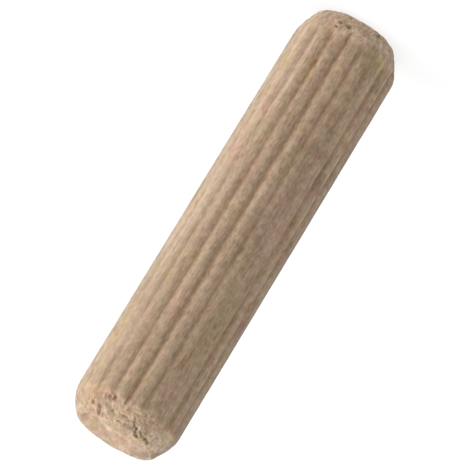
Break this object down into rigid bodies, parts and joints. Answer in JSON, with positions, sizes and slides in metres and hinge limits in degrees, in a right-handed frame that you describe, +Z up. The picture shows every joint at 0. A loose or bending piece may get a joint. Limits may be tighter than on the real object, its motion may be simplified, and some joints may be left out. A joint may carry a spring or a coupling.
{
  "type": "dowel pin",
  "caption": "Fluted wooden dowel pin with straight pressed grooves and a rounded nose at each end, glued into two matching holes to line up and join boards.",
  "frame": {"origin": "centre of the lower end face, which the pin stands on", "axes": "+Z up along the pin's axis, from the lower end face to the upper one; +X through the middle of a ridge"},
  "size_m": [0.0082, 0.0082, 0.035],
  "materials": {
    "wood": "bare, unfinished"
  },
  "bodies": {
    "root": {"dowel_pin": "wood"}
  },
  "joints": []
}
